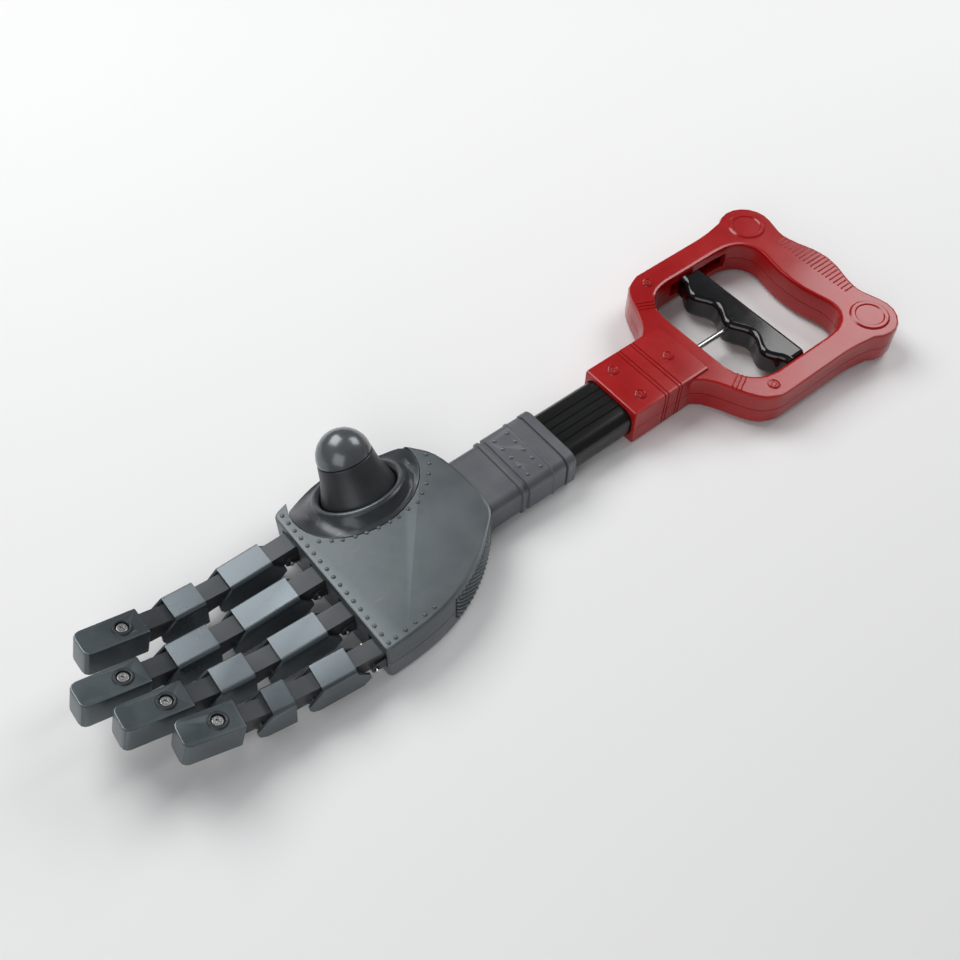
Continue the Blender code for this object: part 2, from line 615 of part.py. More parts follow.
def build_arm():
    frame = place(0, 0, AXIS_Z)
    plain, band = (17.6, 9.2, 4.5), (18.5, 10.0, 4.8)
    lip, groove, ridge = (18.9, 10.3, 4.9), (17.7, 9.3, 4.5), (18.9, 10.35, 4.9)
    stations = [(SLEEVE_X0, *plain), (-8.6, *plain), (-8.0, *band), (-6.6, *band), (-6.1, *plain),
                (-4.6, *plain), (-4.0, *band), (9.6, *band), (10.0, *ridge), (10.8, *ridge), (11.2, *band),
                (17.3, *band), (17.6, *groove), (18.2, *groove), (18.5, *lip), (22.9, *lip),
                (SLEEVE_X1, *band)]
    sleeve = loft_along_x("wrist_sleeve", stations, "hand_plastic", frame)
    bore = tube_section(TUBE_HALF_W + GAP, TUBE_HALF_H + GAP, TUBE_R, False)
    combine(sleeve, plate("sleeve_bore", [bore], "YZ", TUBE_X0 - 0.3, SLEEVE_X1 + 5, None, frame))
    throat = tube_section(TUBE_HALF_W - 2.0, TUBE_HALF_H - 2.0, TUBE_R - 1.5, False)
    combine(sleeve, plate("sleeve_throat", [throat], "YZ", SLEEVE_X0 - 5, TUBE_X0 + 5, None, frame))
    rivets = [(x, y, 10.0) for x in (-0.4, 7.0) for y in (-12, -6, 0, 6, 12)]
    combine(sleeve, domes("sleeve_rivets", rivets, 1.1, 0.75, frame, 7), "UNION")
    outer = tube_section(TUBE_HALF_W, TUBE_HALF_H, TUBE_R, True)
    tube = plate("arm_tube", [outer], "YZ", TUBE_X0, TUBE_X1, "tube_plastic", frame)
    inner = tube_section(TUBE_HALF_W - TUBE_WALL, TUBE_HALF_H - TUBE_WALL, TUBE_R - 1.5, False)
    combine(tube, plate("tube_hollow", [inner], "YZ", TUBE_X0 - 3, TUBE_X1 + 3, None, frame))
    for i, (x, y) in enumerate(BOSSES[:2]):
        combine(tube, along("Z", 0.0, 9.0, 3.4 + GAP, f"tube_lock_{i + 1}", place(x, y, 0), 12))


# --- handle --------------------------------------------------------------------------------------
BOSSES = ((71.3, 9.6), (71.3, -9.6), (99.0, 0.0), (127.5, 44.0), (127.5, -44.0))


def loop_outline():
    bend = [(STEM_X0 + 30, 14.0), (97.5, 17.9), (103.5, 22.5), (108.5, 31.5), (112.8, 41.0), (118.5, 48.4),
            (127.0, ARM_OUT)]
    grip = [(212.2, 31.0), (211.2, 25.5), (212.9, 17.0), (215.8, 8.5), (GRIP_X, 0.0)]
    half = smooth_path(bend, 2, closed=False)
    half += [(150.0, ARM_OUT), (172.0, ARM_OUT), (180.0, ARM_OUT + 0.6)]
    half += arc(LOBE_X, LOBE_Y, LOBE_R, 128, -18, 8)
    return half + smooth_path(grip, 2, closed=False)


def opening_outline():
    bend = [(OPEN_X0, 20.0), (119.2, 27.5), (123.5, 33.6), (129.0, 37.2), (136.0, ARM_IN)]
    grip = [(179.0, 38.0), (185.5, 35.4), (190.0, 30.5), (191.5, 24.0), (190.0, 16.0), (188.4, 8.0)]
    half = [(OPEN_X0, 0.0), (OPEN_X0, 12.0)] + smooth_path(bend, 2, closed=False)
    return half + [(172.0, ARM_IN)] + smooth_path(grip, 2, closed=False) + [(OPEN_X1, 0.0)]


def handle_tools(frame):
    """Cuts shared by both shells: tube socket, spring chamber, rod way, trigger ways and grooves."""
    socket = tube_section(TUBE_HALF_W + GAP, TUBE_HALF_H + GAP, TUBE_R, False)
    tools = [plate("tube_socket", [socket], "YZ", STEM_X0 - 3, TUBE_X1 + GAP, None, frame)]
    rod = place(0, 0, ROD_Z)
    tools.append(along("X", 70.0, 101.5, 5.2, "spring_chamber", rod, 20))
    tools.append(along("X", 70.0, 125.0, 1.8, "rod_way", rod, 16))
    for side in (-1, 1):
        slot = rounded_rect(5.25, 4.2, 1.0, 2, side * (ARM_IN + 2.25), 0.0)
        tools.append(plate(f"trigger_way_{side}", [slot], "YZ", 140.5, 180.5, None, frame))
    outside = rounded_rect(STEM_HALF_W + 3, STEM_HALF_H + 3, 1.0, 1)
    floor = rounded_rect(STEM_HALF_W - 0.45, STEM_HALF_H - 0.45, 1.4, 3)
    for i, x in enumerate((80.6, 82.6, 89.4, 91.4)):
        tools.append(plate(f"stem_groove_{i + 1}", [outside, floor], "YZ", x - 0.35, x + 0.35, None, frame))
    return tools


def add_bosses(shell, frame, sign, flip):
    """Screw bosses on the upper shell; posts, sinks and screws in the lower one."""
    for i, (x, y) in enumerate(BOSSES):
        height = STEM_HALF_H if x < STEM_X1 else LOOP_HALF_H
        seat = frame @ Matrix.Translation((x * MM, y * MM, sign * height * MM)) @ flip
        if sign > 0:
            boss = [(0.0, 0.35), (2.9, 0.35), (3.5, -0.25), (3.3, -0.6), (0.0, -0.6)]
            combine(shell, turned(f"boss_{i + 1}", boss, 14, None, seat), "UNION")
        else:
            combine(shell, along("Z", -6.5, -1.0, 3.4, f"handle_post_{i + 1}", seat, 12), "UNION")
            combine(shell, along("Z", -1.9, 1.0, 3.0, f"handle_sink_{i + 1}", seat, 14))
            combine(shell, along("Z", -6.2, 0.0, 1.35, f"handle_pilot_{i + 1}", seat, 8))
            small_screw(f"handle_screw_{i + 1}", seat, -0.2, 5.6)


def build_handle():
    """Two half shells that meet on the centre plane."""
    loop, opening = full(loop_outline()), full(opening_outline())
    stem = rounded([(STEM_X0, -STEM_HALF_W, 1.2), (STEM_X1 + 6, -STEM_HALF_W, 0),
                    (STEM_X1 + 6, STEM_HALF_W, 0), (STEM_X0, STEM_HALF_W, 1.2)], 2)
    cavity = full([(106.0, 21.0), (113.0, 34.5), (119.5, 45.5), (129.0, 49.4), (181.0, 49.4), (190.0, 51.8),
                   (200.0, 54.8), (209.0, 50.5), (211.6, 42.0), (208.2, 29.5), (210.6, 15.0), (214.0, 0.0)])
    core = full([(115.2, 0.0), (115.2, 22.0), (121.5, 36.0), (133.0, 41.0), (178.0, 41.0), (188.0, 37.5),
                 (194.0, 27.0), (191.5, 10.0), (190.6, 0.0)])
    frame = place(0, 0, AXIS_Z)
    tools = handle_tools(frame)
    beyond = [(40.0, -80.0), (240.0, -80.0), (240.0, 80.0), (40.0, 80.0)]
    for half, sign in (("top", 1), ("bottom", -1)):
        name = f"handle_{half}_shell"
        shell = plate(name, [loop, opening], "XY", -LOOP_HALF_H, LOOP_HALF_H, "handle_plastic", frame)
        add_bevel(shell, 2.0, 2, 60)
        block = plate(f"stem_block_{half}", [stem], "XY", -STEM_HALF_H, STEM_HALF_H, None, frame)
        add_bevel(block, 1.6, 2, 60)
        combine(shell, block, "UNION")
        low, high = sorted((sign * GAP / 2, -sign * 20.0))
        combine(shell, plate(f"handle_trim_{half}", [beyond], "XY", low, high, None, frame))
        low, high = sorted((-sign * 1.0, sign * (LOOP_HALF_H - LOOP_WALL)))
        hollow = plate(f"loop_hollow_{half}", [cavity], "XY", low, high, None, frame)
        combine(hollow, plate(f"loop_core_{half}", [core], "XY", low - 1.0, high + 1.0, None, frame))
        combine(shell, hollow)
        for tool in tools:
            combine(shell, tool)
        flip = Matrix.Identity(4) if sign > 0 else Matrix.Rotation(math.pi, 4, "X")
        add_bosses(shell, frame, sign, flip)
        # a raised ring on each lobe
        ring = [(0.0, 0.3), (6.9, 0.3), (7.6, 0.8), (9.2, 0.8), (10.7, -0.35), (10.2, -0.7), (0.0, -0.7)]
        for side in (1, -1):
            centre = (LOBE_X * MM, side * LOBE_Y * MM, sign * LOOP_HALF_H * MM)
            seat = frame @ Matrix.Translation(centre) @ flip
            combine(shell, turned(f"lobe_ring_{half}_{side}", ring, 24, None, seat), "UNION")


def build_trigger():
    """Finger bar with three bumps toward the hand, and a tab at each end that rides in the handle."""
    front = []
    steps = 36
    for i in range(steps + 1):
        y = TRIGGER_HALF * (2 * i / steps - 1)
        wave = 0.5 + 0.5 * math.cos(2 * math.pi * y / BUMP_PITCH)
        fade = 1.0 if abs(y) < 32 else max(0.0, 1.0 - (abs(y) - 32) / 5.9)
        front.append((TRIGGER_X0 - BUMP_HEIGHT * wave * fade, y))
    back = [(TRIGGER_X1 - 1.5, TRIGGER_HALF), (TRIGGER_X1, TRIGGER_HALF - 1.5)]
    outline = front + back + [(x, -y) for x, y in reversed(back)]
    bar = plate("trigger_bar", [outline], "XY", TRIGGER_LOW, TRIGGER_HIGH, "trigger_plastic", WORLD)
    add_bevel(bar, 1.5, 3, 50)
    tabs = rounded_rect(43.8, 3.9, 0.8, 2, 0.0, AXIS_Z)
    combine(bar, plate("trigger_tabs", [tabs], "YZ", 147.0, 158.0, None, WORLD), "UNION")
    rod = place(0, 0, ROD_Z)
    combine(bar, along("X", 130.0, 152.0, 1.65, "trigger_rod_hole", rod, 16))
    along("X", 46.0, 151.5, 1.5, "pull_rod", rod, 16, "steel", 0.3)
    section = rounded_rect(9.0, 4.2, 1.2, 2, 0.0, ROD_Z - 0.6)
    yoke = plate("cord_yoke", [section], "YZ", 38.0, 52.0, "thumb_plastic", WORLD)
    combine(yoke, along("X", 45.0, 60.0, 1.65, "yoke_rod_hole", rod, 16))
    build_spring()


def build_spring():
    """Compression spring between the yoke and the end wall of the stem's chamber."""
    start, end, turns, radius, wire, per_turn = 52.9, 100.6, 8, 3.2, 0.5, 12
    curve = bpy.data.curves.new("return_spring", "CURVE")
    curve.dimensions = "3D"
    curve.bevel_depth = wire * MM
    curve.bevel_resolution = 1
    curve.use_fill_caps = True
    count = turns * per_turn
    line = curve.splines.new("POLY")
    line.points.add(count)
    for i, node in enumerate(line.points):
        angle = 2 * math.pi * i / per_turn
        x = start + (end - start) * i / count
        node.co = (x * MM, radius * math.cos(angle) * MM, radius * math.sin(angle) * MM, 1.0)
    add_object("return_spring", curve_mesh("return_spring", curve), "steel", place(0, 0, ROD_Z))


# --- assembly ------------------------------------------------------------------------------------
build_palm()
build_thumb_pieces()
for number, finger_name in enumerate(FINGER_NAMES):
    build_finger(number, finger_name)
build_arm()
build_handle()
build_trigger()
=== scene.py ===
"""Looks for the trigger-operated toy robot hand: moulded plastics, steel, cords, rivets, ribs and light.
Added pieces are placed in millimetres, by at() from the hand's own origin or by local() from a hinge pin."""

import json
import math

import bmesh
import bpy
from mathutils import Matrix, Vector


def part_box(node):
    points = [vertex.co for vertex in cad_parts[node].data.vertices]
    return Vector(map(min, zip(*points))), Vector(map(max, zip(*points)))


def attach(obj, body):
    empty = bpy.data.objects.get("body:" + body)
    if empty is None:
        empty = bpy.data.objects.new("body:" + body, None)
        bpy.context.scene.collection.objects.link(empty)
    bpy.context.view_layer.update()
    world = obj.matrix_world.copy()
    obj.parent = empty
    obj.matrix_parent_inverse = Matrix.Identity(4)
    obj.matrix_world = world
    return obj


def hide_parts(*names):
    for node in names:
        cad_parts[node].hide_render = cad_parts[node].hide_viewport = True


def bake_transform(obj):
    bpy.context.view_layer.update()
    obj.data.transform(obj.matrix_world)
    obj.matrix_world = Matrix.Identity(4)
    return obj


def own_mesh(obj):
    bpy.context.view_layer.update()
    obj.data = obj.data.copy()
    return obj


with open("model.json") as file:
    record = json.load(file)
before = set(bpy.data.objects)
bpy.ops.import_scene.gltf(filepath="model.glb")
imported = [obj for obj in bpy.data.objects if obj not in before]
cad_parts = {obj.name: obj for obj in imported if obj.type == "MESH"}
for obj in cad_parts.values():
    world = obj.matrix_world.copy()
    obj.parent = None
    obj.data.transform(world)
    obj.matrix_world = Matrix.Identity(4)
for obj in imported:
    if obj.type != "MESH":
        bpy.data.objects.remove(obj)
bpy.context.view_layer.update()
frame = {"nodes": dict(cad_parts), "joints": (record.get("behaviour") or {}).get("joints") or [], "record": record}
NODES = frame["nodes"]
MM = 0.001

# --- places worked out from the frame (metres) ---------------------------------------------------
SLEEVE_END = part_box("wrist_sleeve")[1][0]
HANDLE_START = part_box("handle_top_shell")[0][0]

# --- driving dimensions (mm) ---------------------------------------------------------------------
FINGERS = ("index", "middle", "ring", "little")
LANES = (1.5, 0.5, -0.5, -1.5)          # each cord's place across the yoke
LANE_PITCH = 3.4
SHIFT_X = -1.423                        # the frame's X of the hand's own origin
PALM_TOP = 24.0
CORD_R, CORD_RISE = 0.5, 4.6
ROD_Z = 12.5
HANDLE_TOP, HANDLE_BOTTOM, HANDLE_AXIS = 20.5, 1.5, 11.0
STEM_TOP, STEM_END = 22.0, 110.0
BOSSES = ((71.3, 9.6), (71.3, -9.6), (99.0, 0.0), (127.5, 44.0), (127.5, -44.0))
TIP_SCREW_X, TIP_SCREW_Z = -17.8, 8.5   # measured from the end joint's pin
CURLS = {"knuckle": 0.0, "middle": 7.0, "end": 18.0}    # each piece's tilt at rest, in degrees
SECTIONS = (("proximal", "knuckle"), ("middle", "middle"), ("tip", "end"))
NECK_REAR, NECK_HALF = -8.7, 4.9
TRIGGER_HALF, TRIGGER_EDGE, TRIGGER_CORNER = 37.9, 3.2, 3.0
BUMP_HEIGHT, BUMP_PITCH, BUMP_FADE_Y, BUMP_FADE = 5.2, 25.0, 32.0, 5.9
THUMB_SEAT, THUMB_LEAN_DEG = (-65.1, 29.6, 20.5), 27.0


# --- node helpers --------------------------------------------------------------------------------
def new_material(name):
    material = bpy.data.materials.new(name)
    material.use_nodes = True
    tree = material.node_tree
    return material, tree, tree.nodes["Principled BSDF"]


def node(tree, kind, **settings):
    made = tree.nodes.new("ShaderNode" + kind)
    for key, value in settings.items():
        if key in made.inputs:
            made.inputs[key].default_value = value
        else:
            setattr(made, key.lower(), value)
    return made


def noise(tree, coords, scale, detail=4.0, roughness=0.55, stretch=(1, 1, 1)):
    mapping = node(tree, "Mapping")
    mapping.inputs["Scale"].default_value = stretch
    tree.links.new(coords, mapping.inputs["Vector"])
    made = node(tree, "TexNoise", Scale=scale, Detail=detail, Roughness=roughness)
    tree.links.new(mapping.outputs["Vector"], made.inputs["Vector"])
    return made.outputs["Fac"]


def ramp(tree, value, stops):
    made = node(tree, "ValToRGB")
    elements = made.color_ramp.elements
    while len(elements) < len(stops):
        elements.new(0.5)
    for element, (position, colour) in zip(elements, stops):
        element.position = position
        element.color = (*colour, 1.0) if len(colour) == 3 else colour
    tree.links.new(value, made.inputs["Fac"])
    return made.outputs["Color"]


def spread(tree, value, low, high, to_low, to_high):
    made = node(tree, "MapRange")
    for key, number in (("From Min", low), ("From Max", high), ("To Min", to_low), ("To Max", to_high)):
        made.inputs[key].default_value = number
    tree.links.new(value, made.inputs["Value"])
    return made.outputs["Result"]


def mix(tree, factor, first, second, blend_type="MIX"):
    made = node(tree, "Mix", data_type="RGBA", blend_type=blend_type)
    for socket, value in ((0, factor), (6, first), (7, second)):
        if isinstance(value, (int, float)):
            made.inputs[socket].default_value = value
        elif isinstance(value, tuple):
            made.inputs[socket].default_value = (*value, 1.0)
        else:
            tree.links.new(value, made.inputs[socket])
    return made.outputs[2]


def bump(tree, shader, height, strength, distance):
    made = node(tree, "Bump", Strength=strength, Distance=distance)
    tree.links.new(height, made.inputs["Height"])
    tree.links.new(made.outputs["Normal"], shader.inputs["Normal"])


def moulded_plastic(name, dark, light, rough, metallic=0.0, coat=0.0, scuffs_and_edge_highlight=0.5, grain=0.15, swirl=(1, 1, 1)):
    """Injection-moulded plastic: pigment swirl, fine grain, scuffs, and a painted highlight that lightens the
    edges; one strength scales both the scuffs and the painted highlight.
    """
    material, tree, shader = new_material(name)
    coords = node(tree, "TexCoord").outputs["Object"]
    flow = noise(tree, coords, 38.0, 5.0, 0.6, swirl)
    base = ramp(tree, flow, ((0.3, dark), (0.7, light)))
    speckle = noise(tree, coords, 2600.0, 2.0)
    base = mix(tree, spread(tree, speckle, 0.4, 0.6, 0.0, 0.10), base, tuple(1.35 * c for c in light))
    # scuffs: thin broken scratches where two stretched noises meet
    streaks = noise(tree, coords, 260.0, 3.0, 0.7, (0.16, 1.0, 0.5))
    patches = noise(tree, coords, 21.0, 2.0)
    streak = spread(tree, streaks, 0.66, 0.72, 0.0, 1.0)
    patch = spread(tree, patches, 0.54, 0.62, 0.0, 1.0)
    scuff = node(tree, "Math", operation="MULTIPLY")
    tree.links.new(streak, scuff.inputs[0])
    tree.links.new(patch, scuff.inputs[1])
    faded = node(tree, "Math", operation="MULTIPLY")
    faded.inputs[1].default_value = 0.35 * scuffs_and_edge_highlight
    tree.links.new(scuff.outputs[0], faded.inputs[0])
    base = mix(tree, faded.outputs[0], base, tuple(min(1.0, 2.0 * c + 0.08) for c in light))
    # painted highlight: the edges are painted lighter
    geometry = node(tree, "NewGeometry")
    edge = spread(tree, geometry.outputs["Pointiness"], 0.52, 0.62, 0.0, 0.30 * scuffs_and_edge_highlight)
    base = mix(tree, edge, base, tuple(min(1.0, 1.9 * c + 0.03) for c in light))
    tree.links.new(base, shader.inputs["Base Color"])
    tree.links.new(spread(tree, flow, 0.3, 0.7, rough - 0.05, rough + 0.06), shader.inputs["Roughness"])
    shader.inputs["Metallic"].default_value = metallic
    shader.inputs["IOR"].default_value = 1.48
    shader.inputs["Coat Weight"].default_value = coat
    shader.inputs["Coat Roughness"].default_value = 0.12
    height = noise(tree, coords, 1500.0, 3.0)
    bump(tree, shader, height, grain, 0.00008)
    return material


def metal(name, colour, rough, brushed=(1, 1, 1), strength=0.2):
    """Steel with fine drawn or turned marks."""
    material, tree, shader = new_material(name)
    coords = node(tree, "TexCoord").outputs["Object"]
    marks = noise(tree, coords, 1800.0, 3.0, 0.6, brushed)
    stain = noise(tree, coords, 160.0, 3.0)
    base = ramp(tree, stain, ((0.35, tuple(0.8 * c for c in colour)), (0.65, colour)))
    tree.links.new(base, shader.inputs["Base Color"])
    tree.links.new(spread(tree, marks, 0.35, 0.65, rough - 0.06, rough + 0.08), shader.inputs["Roughness"])
    shader.inputs["Metallic"].default_value = 1.0
    bump(tree, shader, marks, strength, 0.00004)
    return material


HAND = moulded_plastic(
    "hand_grey", (0.066, 0.079, 0.085), (0.104, 0.120, 0.127), 0.36, metallic=0.45, coat=0.1, scuffs_and_edge_highlight=1.0)
SLEEVE = moulded_plastic(
    "sleeve_grey", (0.098, 0.104, 0.116), (0.140, 0.147, 0.160), 0.38, metallic=0.4, scuffs_and_edge_highlight=0.9)
# The fingers get the strongest painted edge highlight.
FINGER = moulded_plastic(
    "finger_grey", (0.050, 0.064, 0.073), (0.088, 0.106, 0.117), 0.30, metallic=0.6, coat=0.15, scuffs_and_edge_highlight=1.5)
NECK = moulded_plastic(
    "neck_grey", (0.034, 0.039, 0.043), (0.058, 0.064, 0.069), 0.40, metallic=0.3, scuffs_and_edge_highlight=0.8)
DARK = moulded_plastic(
    "dark_plastic", (0.026, 0.029, 0.031), (0.044, 0.048, 0.051), 0.40, metallic=0.2, scuffs_and_edge_highlight=0.5)
# A darker copy of the hand grey: painted shade on the collar's slope.
SHADED_COLLAR = moulded_plastic(
    "collar_painted_shade", (0.040, 0.046, 0.050), (0.068, 0.076, 0.081), 0.34, metallic=0.45, coat=0.1, scuffs_and_edge_highlight=0.9)
# A lighter copy of the hand grey: painted highlight on the dome; its coat and low roughness are its own gloss.
LIT_DOME = moulded_plastic(
    "dome_painted_highlight", (0.075, 0.085, 0.090), (0.120, 0.132, 0.138), 0.24, metallic=0.4, coat=0.3, scuffs_and_edge_highlight=0.8)
RED = moulded_plastic(
    "handle_red", (0.290, 0.0022, 0.003), (0.370, 0.004, 0.005), 0.20, coat=0.1, scuffs_and_edge_highlight=0.1, grain=0.08)
BLACK = moulded_plastic(
    "trigger_black", (0.0025, 0.0025, 0.003), (0.005, 0.005, 0.006), 0.13, coat=0.15, scuffs_and_edge_highlight=0.05, grain=0.04)
TUBE = moulded_plastic(
    "tube_black", (0.003, 0.003, 0.003), (0.006, 0.006, 0.006), 0.24,
    scuffs_and_edge_highlight=0.05, grain=0.06, swirl=(0.2, 1, 1))
CHROME = metal("pin_chrome", (0.66, 0.66, 0.67), 0.16)
SCREW = metal("screw_steel", (0.40, 0.40, 0.40), 0.30)
ROD = metal("rod_steel", (0.58, 0.57, 0.55), 0.24, brushed=(0.05, 1, 1))
SPRING = metal("spring_steel", (0.50, 0.49, 0.47), 0.3)


def cord_material():
    """Braided nylon: crossed diagonal strands."""
    material, tree, shader = new_material("pull_cord")
    coords = node(tree, "TexCoord").outputs["Object"]
    strands = noise(tree, coords, 3000.0, 2.0, 0.5, (0.4, 1, 1))
    base = ramp(tree, strands, ((0.35, (0.42, 0.41, 0.38)), (0.65, (0.66, 0.65, 0.61))))
    tree.links.new(base, shader.inputs["Base Color"])
    shader.inputs["Roughness"].default_value = 0.75
    bump(tree, shader, strands, 0.6, 0.0001)
    return material


CORD = cord_material()

LOOKS = {
    "hand_grey": HAND, "finger_grey": FINGER, "dark_plastic": DARK, "handle_red": RED, "trigger_black": BLACK,
    "tube_black": TUBE, "pin_chrome": CHROME, "screw_steel": SCREW, "rod_steel": ROD, "pull_cord": CORD,
}
SPECIAL = {"wrist_sleeve": SLEEVE, "thumb_collar": SHADED_COLLAR, "thumb_dome": LIT_DOME, "return_spring": SPRING}

EDGE_WIDTH = {
    "hand_grey": 0.35, "finger_grey": 0.35, "handle_red": 0.4, "trigger_black": 0.4, "pin_chrome": 0.1,
    "screw_steel": 0.12, "tube_black": 0.15,
}
OTHER_EDGE_WIDTH = 0.25
SHARP_ANGLE, BEVEL_ANGLE, FLAT_ANGLE = (math.radians(degrees) for degrees in (34, 24, 0.4))


def shading_group():
    """Geometry nodes that shade smooth except across edges sharper than the given angle."""
    group = bpy.data.node_groups.new("smooth_by_angle", "GeometryNodeTree")
    group.interface.new_socket("Geometry", in_out="INPUT", socket_type="NodeSocketGeometry")
    group.interface.new_socket("Geometry", in_out="OUTPUT", socket_type="NodeSocketGeometry")
    start, end = group.nodes.new("NodeGroupInput"), group.nodes.new("NodeGroupOutput")
    angle = group.nodes.new("GeometryNodeInputMeshEdgeAngle")
    below = group.nodes.new("FunctionNodeCompare")
    below.data_type = "FLOAT"
    below.operation = "LESS_THAN"
    below.inputs["B"].default_value = SHARP_ANGLE
    faces = group.nodes.new("GeometryNodeSetShadeSmooth")
    edges = group.nodes.new("GeometryNodeSetShadeSmooth")
    edges.domain = "EDGE"
    group.links.new(start.outputs[0], faces.inputs["Geometry"])
    group.links.new(faces.outputs[0], edges.inputs["Geometry"])
    group.links.new(angle.outputs["Unsigned Angle"], below.inputs["A"])
    group.links.new(below.outputs[0], edges.inputs["Shade Smooth"])
    group.links.new(edges.outputs[0], end.inputs[0])
    return group


SHADING = shading_group()


def finish_surface(piece, edge_width):
    """Welds the mesh, joins coplanar triangles, rounds the edges and weights the shading to flat faces."""
    weld = piece.modifiers.new("weld", "WELD")
    weld.merge_threshold = 0.00001
    flatten = piece.modifiers.new("flatten", "DECIMATE")
    flatten.decimate_type = "DISSOLVE"
    flatten.angle_limit = FLAT_ANGLE
    if edge_width:
        bevel = piece.modifiers.new("edge", "BEVEL")
        bevel.width = edge_width * MM
        bevel.segments = 2
        bevel.limit_method = "ANGLE"
        bevel.angle_limit = BEVEL_ANGLE
        bevel.use_clamp_overlap = True
        bevel.face_strength_mode = "FSTR_ALL"
    smooth = piece.modifiers.new("shading", "NODES")
    smooth.node_group = SHADING
    flat = piece.modifiers.new("flat_faces", "WEIGHTED_NORMAL")
    flat.keep_sharp = True
    flat.weight = 60
    flat.use_face_influence = bool(edge_width)


def dress(name, slot):
    """Gives a CAD node its material and softens its edges."""
    piece = NODES[name]
    piece.data.materials.clear()
    piece.data.materials.append(SPECIAL.get(name, LOOKS[slot]))
    finish_surface(piece, EDGE_WIDTH.get(slot, OTHER_EDGE_WIDTH))


for part in frame["record"]["subparts"]:
    dress(part["node"], part["material_slot"])


# --- added pieces --------------------------------------------------------------------------------
JOINTS = {joint["name"]: joint for joint in frame["joints"]}


def at(x, y, z):
    return Vector((x + SHIFT_X, y, z)) * MM


def add_piece(name, mesh, material, body):
    """Links a mesh with its material and finishes its surface; with body None the piece is attached to no body."""
    piece = bpy.data.objects.new(name, mesh)
    bpy.context.scene.collection.objects.link(piece)
    mesh.materials.clear()
    mesh.materials.append(material)
    finish_surface(piece, 0.0)
    if body:
        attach(piece, body)
    return piece


def mesh_from(name, body):
    mesh = bpy.data.meshes.new(name)
    bmesh.ops.recalc_face_normals(body, faces=body.faces)
    body.to_mesh(mesh)
    body.free()
    return mesh


def revolve(body, profile, steps, matrix):
    """Adds a turned (r, z) profile, in millimetres, about the matrix's Z axis."""
    rings = []
    for r, z in profile:
        if r == 0:
            rings.append([body.verts.new(matrix @ (Vector((0, 0, z)) * MM))])
            continue
        ring = []
        for k in range(steps):
            angle = 2 * math.pi * k / steps
            point = Vector((r * math.cos(angle), r * math.sin(angle), z)) * MM
            ring.append(body.verts.new(matrix @ point))
        rings.append(ring)
    for first, second in zip(rings, rings[1:]):
        for k in range(steps):
            j = (k + 1) % steps
            corners = [ring[i % len(ring)] for ring, i in ((first, k), (first, j), (second, j), (second, k))]
            unique = list(dict.fromkeys(corners))
            if len(unique) > 2:
                body.faces.new(unique)


def tube_mesh(name, points, radius):
    """A round tube along points, closed at both ends."""
    curve = bpy.data.curves.new(name, "CURVE")
    curve.dimensions = "3D"
    curve.bevel_depth = radius
    curve.bevel_resolution = 2
    curve.use_fill_caps = True
    line = curve.splines.new("POLY")
    line.points.add(len(points) - 1)
    for knot, point in zip(line.points, points):
        knot.co = (*point, 1.0)
    return curve_to_mesh(name, curve)


def curve_to_mesh(name, curve):
    carrier = bpy.data.objects.new(name, curve)
    bpy.context.scene.collection.objects.link(carrier)
    depsgraph = bpy.context.evaluated_depsgraph_get()
    mesh = bpy.data.meshes.new_from_object(carrier.evaluated_get(depsgraph))
    bpy.data.objects.remove(carrier, do_unlink=True)
    bpy.data.curves.remove(curve)
    return mesh


RIVET = ((0.98, -0.4), (0.98, 0.04), (0.92, 0.22), (0.72, 0.42), (0.4, 0.54), (0.0, 0.58))


def add_palm_rivets():
    """Domed rivet heads: a row along the front edge, an arc round the thumb and a short side row."""
    front_row = [(-100.5, 35.3 - 4.925 * i) for i in range(17)]
    side_row = [(-96.8 + 5.2 * i, -43.3 + 0.35 * i) for i in range(5)]
    thumb_arc = [
        (-95.4, 14.4), (-90.9, 11.3), (-86.9, 8.8), (-81.8, 6.8), (-76.8, 5.4), (-71.1, 4.3), (-65.6, 3.8),
        (-60.9, 3.5), (-55.3, 4.3), (-49.8, 4.8), (-45.4, 7.4), (-40.8, 10.4), (-36.6, 14.1), (-33.0, 18.5),
        (-31.1, 23.5),
    ]
    body = bmesh.new()
    for x, y in front_row + side_row + thumb_arc:
        revolve(body, RIVET, 16, Matrix.Translation(at(x, y, PALM_TOP)))
    add_piece("palm_rivets", mesh_from("palm_rivets", body), HAND, "grabber")


def add_tip_rings():
    """Dark bead round each fingertip screw."""
    ring = ((2.95, -0.5), (2.95, 0.12), (3.2, 0.5), (3.6, 0.72), (4.05, 0.5), (4.35, 0.0), (4.35, -0.3))
    for finger in FINGERS:
        name = finger + "_screw_bead"
        body = bmesh.new()
        offset = Matrix.Translation(Vector((TIP_SCREW_X, 0, TIP_SCREW_Z)) * MM)
        revolve(body, ring, 32, hinge_frame(finger, "end") @ offset)
        add_piece(name, mesh_from(name, body), DARK, finger + "_end")


def hinge_frame(finger, word):
    """Frame on a finger's hinge pin: X along the piece toward the palm, Z toward the palm side."""
    joint = JOINTS[f"{finger}_{word}_joint"]
    axis = Vector(joint["axis"]).normalized()
    rear = axis.cross(Vector((0, 0, 1))).normalized()
    turn = Matrix((rear, axis, rear.cross(axis))).transposed().to_4x4()
    curl = Matrix.Rotation(math.radians(CURLS[word]), 4, "Y")
    return Matrix.Translation(Vector(joint["pos_m"])) @ turn @ curl


def local(matrix, x, z=CORD_RISE):
    return matrix @ (Vector((x, 0, z)) * MM)


